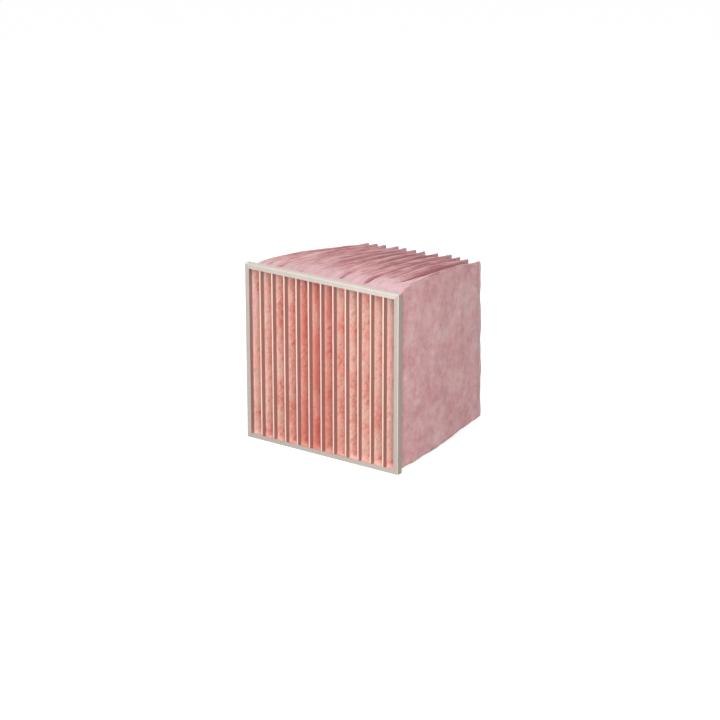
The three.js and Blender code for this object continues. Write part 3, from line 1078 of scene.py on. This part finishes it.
def wadding_relief(outside, inside):
    """Tree: moves a pocket's surface in and out into billows, lumps and creases."""
    tree, given = new_geometry_tree("Wadding relief", {
        "Billow height": 0.0, "Billow size": 1.0, "Lump height": 0.0, "Lump size": 1.0,
        "Crease height": 0.0, "Crease size": 1.0, "Seed": 0.0,
    })

    def field(vector, size, seed_step, detail):
        seed = maths(tree, "ADD", given["Seed"], seed_step)
        raw = noise(tree, vector, maths(tree, "DIVIDE", 1.0, size), seed, detail)
        return maths(tree, "MULTIPLY_ADD", raw, 2.0, -1.0)

    position = output(tree, "GeometryNodeInputPosition")
    normal = output(tree, "GeometryNodeInputNormal")
    on_inside, top, soft = (named(tree, mask) for mask in ("inside", "top", "soft"))
    lift = maths(tree, "MULTIPLY_ADD", named(tree, "swell"), 2.0, -1.0)
    billow = maths(tree, "ADD", field(position, given["Billow size"], 0.0, 2.0), lift)
    billow = times(tree, billow, given["Billow height"], soft,
                   maths(tree, "MULTIPLY_ADD", top, -0.65, 1.0))
    lump = field(position, given["Lump size"], 11.0, 3.0)
    lump = maths(tree, "ADD", lump, times(tree, lift, 0.5))
    lump = times(tree, lump, given["Lump height"], named(tree, "fluffy"))
    along = combined(tree, named(tree, "arc"), times(tree, axes(tree, position)["Y"], 0.11))
    fold = maths(tree, "SUBTRACT", field(along, given["Crease size"], 23.0, 1.0), 0.2)
    line = field(along, times(tree, given["Crease size"], 1.7), 37.0, 1.0)
    line = remap(tree, maths(tree, "ABSOLUTE", line), 0.0, 0.13, 1.0, 0.0)
    on_top = times(tree, top, soft)
    crease = maths(tree, "SUBTRACT", fold, times(tree, line, 0.5))
    crease = times(tree, crease, given["Crease height"], on_top)
    height = maths(tree, "ADD", maths(tree, "ADD", billow, lump), crease)
    height = times(tree, height, maths(tree, "MULTIPLY_ADD", on_inside, -2.0, 1.0))
    offset = output(tree, "ShaderNodeVectorMath", {"Vector": normal, "Scale": height},
                    operation="SCALE")
    x, y, z = axes(tree, vectors(tree, "ADD", position, offset))
    # The crease lines and hollows on the tops are stored as a mask for painted shade in the colour
    hollow = remap(tree, fold, -0.1, -0.5)
    marked = output(tree, "GeometryNodeStoreNamedAttribute", {
        "Geometry": given["Geometry"], "Name": "crease",
        "Value": times(tree, maths(tree, "MAXIMUM", line, hollow), on_top),
    }, data_type="FLOAT", domain="POINT")
    moved = output(tree, "GeometryNodeSetPosition", {
        "Geometry": marked, "Position": combined(tree, x, y, maths(tree, "MAXIMUM", z, 0.0))})
    shaded = output(tree, "GeometryNodeSetShadeSmooth", {"Geometry": moved})
    is_inside = output(tree, "FunctionNodeCompare", {0: on_inside, 1: 0.5},
                       data_type="FLOAT", operation="GREATER_THAN")
    end_tree(tree, shaded, [(outside, True), (inside, is_inside)])
    return tree


# Sewing and loose fibres

def pocket_rings(number):
    """The finished points of a pocket's outer skin and of its lining, ring by ring."""
    pocket = bpy.data.objects[f"pocket_{number:02d}_wadding"]
    rings = mesh_points(pocket.data).reshape(-1, pocket["points_in_a_ring"], 3)
    return rings[:pocket["outer_rings"]], rings[pocket["lining_start"]:]


def lines_object(name, lines):
    """An object of open lines of edges."""
    points = np.concatenate(lines)
    edges = []
    start = 0
    for line in lines:
        edges += [(start + i, start + i + 1) for i in range(len(line) - 1)]
        start += len(line)
    return new_object(name, points, edges=edges)


def seam_lines(number, sizes):
    """Lines of sewing on both sides of a pocket's top seam and of its rear hem."""
    form = PocketForm(number, sizes)
    skin, _ = pocket_rings(number)
    share = (skin[:, 0, 1] - HEADER_BACK) / form.length
    sewn = skin[(share > SEWN_FROM) & (share < form.hem_start)]
    hem = skin[np.abs(share - mix(form.hem_start, 1, 0.5)).argmin()]
    count = skin.shape[1]
    lines = []
    for side in (1, -1):
        proud = np.array([side * SEWING_PROUD, 0, 0])
        lines.append((sewn[:, side % count] + sewn[:, (2 * side) % count]) / 2 + proud)
        down = [(side * step) % count for step in range(HEM_SEWN[0], count // 2 - HEM_SEWN[1])]
        lines.append(hem[down] + proud)
    return lines


def stitch_tree(thread):
    """Tree: one flat stitch after another along every line of edges."""
    tree, given = new_geometry_tree("Stitches", {
        "Stitch pitch": 1.0, "Stitch length": 1.0, "Stitch thickness": 1.0})
    curve = output(tree, "GeometryNodeMeshToCurve", {"Mesh": given["Geometry"]})
    spaced = output(tree, "GeometryNodeResampleCurve",
                    {"Curve": curve, "Length": given["Stitch pitch"]}, mode="LENGTH")
    bead = output(tree, "GeometryNodeMeshUVSphere", {"Segments": 5, "Rings": 3, "Radius": 0.5})
    thickness = given["Stitch thickness"]
    size = combined(tree, given["Stitch length"], thickness, thickness)
    stitch = output(tree, "GeometryNodeTransform", {"Geometry": bead, "Scale": size})
    tangent = output(tree, "GeometryNodeInputTangent")
    turn = output(tree, "FunctionNodeAlignRotationToVector", {"Vector": tangent}, axis="X")
    sewn = output(tree, "GeometryNodeInstanceOnPoints",
                  {"Points": spaced, "Instance": stitch, "Rotation": turn})
    end_tree(tree, sewn, [(thread, True)])
    return tree


def spacer_lines(number, sizes, threads):
    """Straight lines from wall to wall inside a pocket, in rows up its height."""
    _, lining = pocket_rings(number)
    half = lining.shape[1] // 2
    outward = np.array([sizes.wadding / 2, 0, 0])
    lines = []
    for row in range(SPACER_ROWS):
        depth = HEADER_BACK + threads.first_row + row * threads.row_pitch
        ring = lining[np.abs(lining[:, half // 2, 1] - depth).argmin()]
        right, left = ring[CAP_STEPS:half - BASE_STEPS], ring[half + BASE_STEPS:][::-1]
        low, high = right[:, 2].min(), right[:, 2].max()
        rise = low + threads.rise / 2
        while rise < high:
            start, end = (wall[np.abs(wall[:, 2] - rise).argmin()] for wall in (left, right))
            lines.append(np.array([start - outward, end + outward]))
            rise += threads.rise
    return lines


def tube(tree, curve, thickness, sides):
    """A closed tube along a curve."""
    outline = output(tree, "GeometryNodeCurvePrimitiveCircle",
                     {"Resolution": sides, "Radius": times(tree, thickness, 0.5)})
    values = {"Curve": curve, "Profile Curve": outline, "Fill Caps": True}
    return output(tree, "GeometryNodeCurveToMesh", values)


def spacer_tree(thread):
    """Tree: a thread that sags along every line of edges."""
    tree, given = new_geometry_tree("Spacer threads", {"Thread thickness": 1.0, "Thread sag": 0.0})
    curve = output(tree, "GeometryNodeMeshToCurve", {"Mesh": given["Geometry"]})
    spaced = output(tree, "GeometryNodeResampleCurve", {"Curve": curve, "Count": 7}, mode="COUNT")
    along = place(tree, "GeometryNodeSplineParameter").outputs["Factor"]
    arch = times(tree, along, maths(tree, "SUBTRACT", 1.0, along))
    offset = combined(tree, z=times(tree, arch, -4.0, given["Thread sag"]))
    hanging = output(tree, "GeometryNodeSetPosition", {"Geometry": spaced, "Offset": offset})
    end_tree(tree, tube(tree, hanging, given["Thread thickness"], 6), [(thread, True)])
    return tree


def fibre_tree(pockets, wadding):
    """Tree: short curved fibres that stand off the outside of the wadding."""
    tree, given = new_geometry_tree("Loose fibres", {
        "Fibre density": 1.0, "Fibre thickness": 1.0, "Fibre reach": 1.0})
    joined = tree.nodes.new("GeometryNodeJoinGeometry")
    for pocket in pockets:
        skin = place(tree, "GeometryNodeObjectInfo", {"Object": pocket}).outputs["Geometry"]
        tree.links.new(skin, joined.inputs[0])

    def chance(kind, low, high, seed):
        node = place(tree, "FunctionNodeRandomValue", {"Seed": seed}, data_type=kind)
        wanted = {"FLOAT_VECTOR": "VECTOR", "FLOAT": "VALUE"}[kind]
        live = [socket for socket in node.inputs if socket.enabled and socket.type == wanted]
        live[0].default_value, live[1].default_value = low, high
        return next(socket for socket in node.outputs if socket.enabled)

    height = axes(tree, output(tree, "GeometryNodeInputPosition"))["Z"]
    clear = remap(tree, height, 12 * MM, 20 * MM)
    outside = maths(tree, "SUBTRACT", 1.0, named(tree, "inside"))
    density = times(tree, named(tree, "soft"), clear, outside, given["Fibre density"])
    spots = place(tree, "GeometryNodeDistributePointsOnFaces",
                  {"Mesh": joined.outputs[0], "Density": density, "Seed": 7}).outputs
    arc = output(tree, "GeometryNodeCurveQuadraticBezier",
                 {"Resolution": 5, "Start": (0, 0, -0.08), "Middle": (0.5, 0.1, 0.42),
                  "End": (1, -0.12, 0.05)})
    thickness = maths(tree, "DIVIDE", given["Fibre thickness"], given["Fibre reach"])
    turned = output(tree, "FunctionNodeEulerToRotation",
                    {0: chance("FLOAT_VECTOR", (-0.5, -0.3, 0), (0.5, 0.3, 2 * math.pi), 11)})
    rotation = output(tree, "FunctionNodeRotateRotation",
                      {0: spots["Rotation"], 1: turned}, rotation_space="LOCAL")
    grown = output(tree, "GeometryNodeInstanceOnPoints", {
        "Points": spots["Points"], "Instance": tube(tree, arc, thickness, 3),
        "Rotation": rotation,
        "Scale": times(tree, given["Fibre reach"], chance("FLOAT", 0.45, 1.0, 13))})
    end_tree(tree, grown, [(wadding, True)])
    return tree


def finish_piece(obj):
    """Lets a piece ride on the filter's body."""
    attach(obj, BODY)


def dress(name, steel):
    """Gives a node of the frame its material."""
    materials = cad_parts[name].data.materials
    materials.clear()
    materials.append(steel)


# Operators, one for each piece or group of like pieces

class AIRFILTER_OT_header(Operator):
    """Gives the header's rails their galvanised finish"""
    bl_idname = "airfilter.header"
    bl_label = "Header rails"

    def execute(self, context):
        colours = context.scene.air_filter_colours
        for name in RAILS:
            tint = [part * RAIL_TONES[name] for part in colours.rail]
            # Painted shade for the sheet behind the front flange; the top rail's back gets less of it
            painted_shade = list(colours.rail_dull)
            if name == "header_rail_top":
                painted_shade = [mix(*pair, TOP_RAIL_SHADE) for pair in zip(tint, painted_shade)]
            steel = sheet_steel(f"galvanised_{name}", tint, painted_shade, 1.5 * MM, 0.45, 0.2)
            dress(name, steel)
        return {"FINISHED"}


class AIRFILTER_OT_strips(Operator):
    """Gives the strips between the pockets their finish"""
    bl_idname = "airfilter.strips"
    bl_label = "Strips"

    def execute(self, context):
        colours = context.scene.air_filter_colours
        # Pink steel that paints the wadding's reflection, with painted shade on the flanks behind the
        # nose
        steel = sheet_steel("galvanised_strip", colours.strip, colours.strip_dull,
                            2.5 * MM, 0.42, 0.25)
        for name in STRIPS:
            dress(name, steel)
        return {"FINISHED"}


class AIRFILTER_OT_pockets(Operator):
    """Makes the wadding pockets"""
    bl_idname = "airfilter.pockets"
    bl_label = "Pockets"

    def execute(self, context):
        sizes = context.scene.air_filter_pockets
        colours = context.scene.air_filter_colours
        threads = context.scene.air_filter_threads
        tree = wadding_relief(outer_wadding(colours), inner_wadding(colours))
        for number in NUMBERS:
            form = PocketForm(number, sizes)
            outermost = number in (1, len(POCKETS))
            steps = sizes.outer_length_steps if outermost else sizes.length_steps
            wall_steps = sizes.outer_wall_steps if outermost else sizes.wall_steps
            pocket = build_pocket(form, threads, steps, wall_steps)
            run_tree(pocket, tree, sizes, seed=RELIEF_SEED * number)
            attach(pocket, BODY)
            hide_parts(f"pocket_{number:02d}")
        return {"FINISHED"}


class AIRFILTER_OT_stitches(Operator):
    """Sews the top seams and the rear hems of the pockets"""
    bl_idname = "airfilter.stitches"
    bl_label = "Seam stitches"

    def execute(self, context):
        sizes = context.scene.air_filter_pockets
        threads = context.scene.air_filter_threads
        lines = [line for number in NUMBERS for line in seam_lines(number, sizes)]
        stitches = lines_object("seam_stitches", lines)
        thread = thread_material(context.scene.air_filter_colours)
        run_tree(stitches, stitch_tree(thread), threads)
        finish_piece(stitches)
        return {"FINISHED"}


class AIRFILTER_OT_spacers(Operator):
    """Hangs the spacer threads between the walls of each pocket"""
    bl_idname = "airfilter.spacers"
    bl_label = "Spacer threads"

    def execute(self, context):
        sizes = context.scene.air_filter_pockets
        threads = context.scene.air_filter_threads
        lines = [line for number in NUMBERS for line in spacer_lines(number, sizes, threads)]
        spacers = lines_object("spacer_threads", lines)
        thread = thread_material(context.scene.air_filter_colours)
        run_tree(spacers, spacer_tree(thread), threads)
        finish_piece(spacers)
        return {"FINISHED"}


class AIRFILTER_OT_fibres(Operator):
    """Raises loose fibres on the outside of the wadding"""
    bl_idname = "airfilter.fibres"
    bl_label = "Loose fibres"

    def execute(self, context):
        threads = context.scene.air_filter_threads
        pockets = [bpy.data.objects[f"{name}_wadding"] for name in POCKETS]
        fibres = new_object("loose_fibres", np.zeros((0, 3)))
        wadding = fibre_material(context.scene.air_filter_colours)
        run_tree(fibres, fibre_tree(pockets, wadding), threads)
        finish_piece(fibres)
        return {"FINISHED"}


class AIRFILTER_OT_stage(Operator):
    """Sets up the floor, the light and the camera"""
    bl_idname = "airfilter.stage"
    bl_label = "Stage"

    def execute(self, context):
        stage = context.scene.air_filter_stage
        make_floor(stage)
        make_surroundings(context.scene, stage)
        for name, place_and_size in LIGHTS.items():
            make_light(f"{name}_light", *place_and_size, getattr(stage, f"{name}_power"))
        make_camera(context.scene, stage)
        context.scene.view_settings.view_transform = "Standard"
        return {"FINISHED"}


def direction_from(azimuth, elevation):
    """Unit vector from the filter towards a place seen at this azimuth and elevation."""
    across = math.cos(elevation)
    return Vector((math.sin(azimuth) * across, -math.cos(azimuth) * across, math.sin(elevation)))


def seen_directly(tree):
    """1 for rays that show the background: from the camera, or through gloss and glass."""
    path = place(tree, "ShaderNodeLightPath").outputs
    seen = maths(tree, "MAXIMUM", path["Is Camera Ray"], path["Is Glossy Ray"])
    return maths(tree, "MAXIMUM", seen, path["Is Transmission Ray"])


def make_floor(stage):
    half = stage.floor_size / 2
    corners = np.array([(-half, -half, 0), (half, -half, 0), (half, half, 0), (-half, half, 0)])
    floor = new_object("floor", corners, [[0, 1, 2, 3]])
    material, tree, shader, _ = new_material("pale_floor")
    fill(tree, shader, {
        "Base Color": four([FLOOR_GREY] * 3),
        "Roughness": 1.0,
        "Specular IOR Level": 0.0,
        "Emission Color": WHITE,
        "Emission Strength": times(tree, seen_directly(tree), FLOOR_GLOW),
    })
    floor.data.materials.append(material)


def make_surroundings(scene, stage):
    world = bpy.data.worlds.new("pale_surroundings")
    world.use_nodes = True
    tree = world.node_tree
    background = next(node for node in tree.nodes if node.type == "BACKGROUND")
    strength = remap(tree, seen_directly(tree), 0.0, 1.0, stage.surroundings, 1.0)
    fill(tree, background, {"Color": WHITE, "Strength": strength})
    scene.world = world


def make_light(name, angles, distance, size, power):
    light = bpy.data.lights.new(name, "AREA")
    light.size = size
    light.energy = power
    lamp = bpy.data.objects.new(name, light)
    away = direction_from(*(math.radians(turn) for turn in angles))
    lamp.location = (CAD_BOUNDS[0] + CAD_BOUNDS[1]) / 2 + away * distance
    lamp.rotation_euler = away.to_track_quat("Z", "Y").to_euler()
    bpy.context.scene.collection.objects.link(lamp)


def make_camera(scene, stage):
    camera = bpy.data.objects.new("camera", bpy.data.cameras.new("camera"))
    camera.data.lens = stage.lens
    away = direction_from(stage.azimuth, stage.elevation)
    camera.location = Vector(stage.target) + away * stage.distance
    camera.rotation_euler = Euler((math.pi / 2 - stage.elevation, 0, stage.azimuth))
    scene.collection.objects.link(camera)
    scene.camera = camera


class AIRFILTER_PT_panel(Panel):
    """Lists the filter's settings and the steps that make it"""
    bl_idname = "AIRFILTER_PT_panel"
    bl_label = "Bag air filter"
    bl_space_type = "VIEW_3D"
    bl_region_type = "UI"
    bl_category = "Air filter"

    def draw(self, context):
        for name in SETTINGS:
            group = getattr(context.scene, name)
            box = self.layout.box()
            for item in group.__annotations__:
                box.prop(group, item)
        for operator in OPERATORS:
            self.layout.operator(operator.bl_idname)


SETTINGS = {
    "air_filter_pockets": AirFilterPockets,
    "air_filter_colours": AirFilterColours,
    "air_filter_threads": AirFilterThreads,
    "air_filter_stage": AirFilterStage,
}
OPERATORS = [
    AIRFILTER_OT_header,
    AIRFILTER_OT_strips,
    AIRFILTER_OT_pockets,
    AIRFILTER_OT_stitches,
    AIRFILTER_OT_spacers,
    AIRFILTER_OT_fibres,
    AIRFILTER_OT_stage,
]
CLASSES = [*SETTINGS.values(), *OPERATORS, AIRFILTER_PT_panel]


def register():
    for item in CLASSES:
        bpy.utils.register_class(item)
    for name, group in SETTINGS.items():
        setattr(bpy.types.Scene, name, PointerProperty(type=group))


def unregister():
    for name in SETTINGS:
        delattr(bpy.types.Scene, name)
    for item in reversed(CLASSES):
        bpy.utils.unregister_class(item)


def main():
    register()
    bpy.ops.airfilter.header()
    bpy.ops.airfilter.strips()
    bpy.ops.airfilter.pockets()
    bpy.ops.airfilter.stitches()
    bpy.ops.airfilter.spacers()
    bpy.ops.airfilter.fibres()
    bpy.ops.airfilter.stage()


if __name__ == "__main__":
    main()
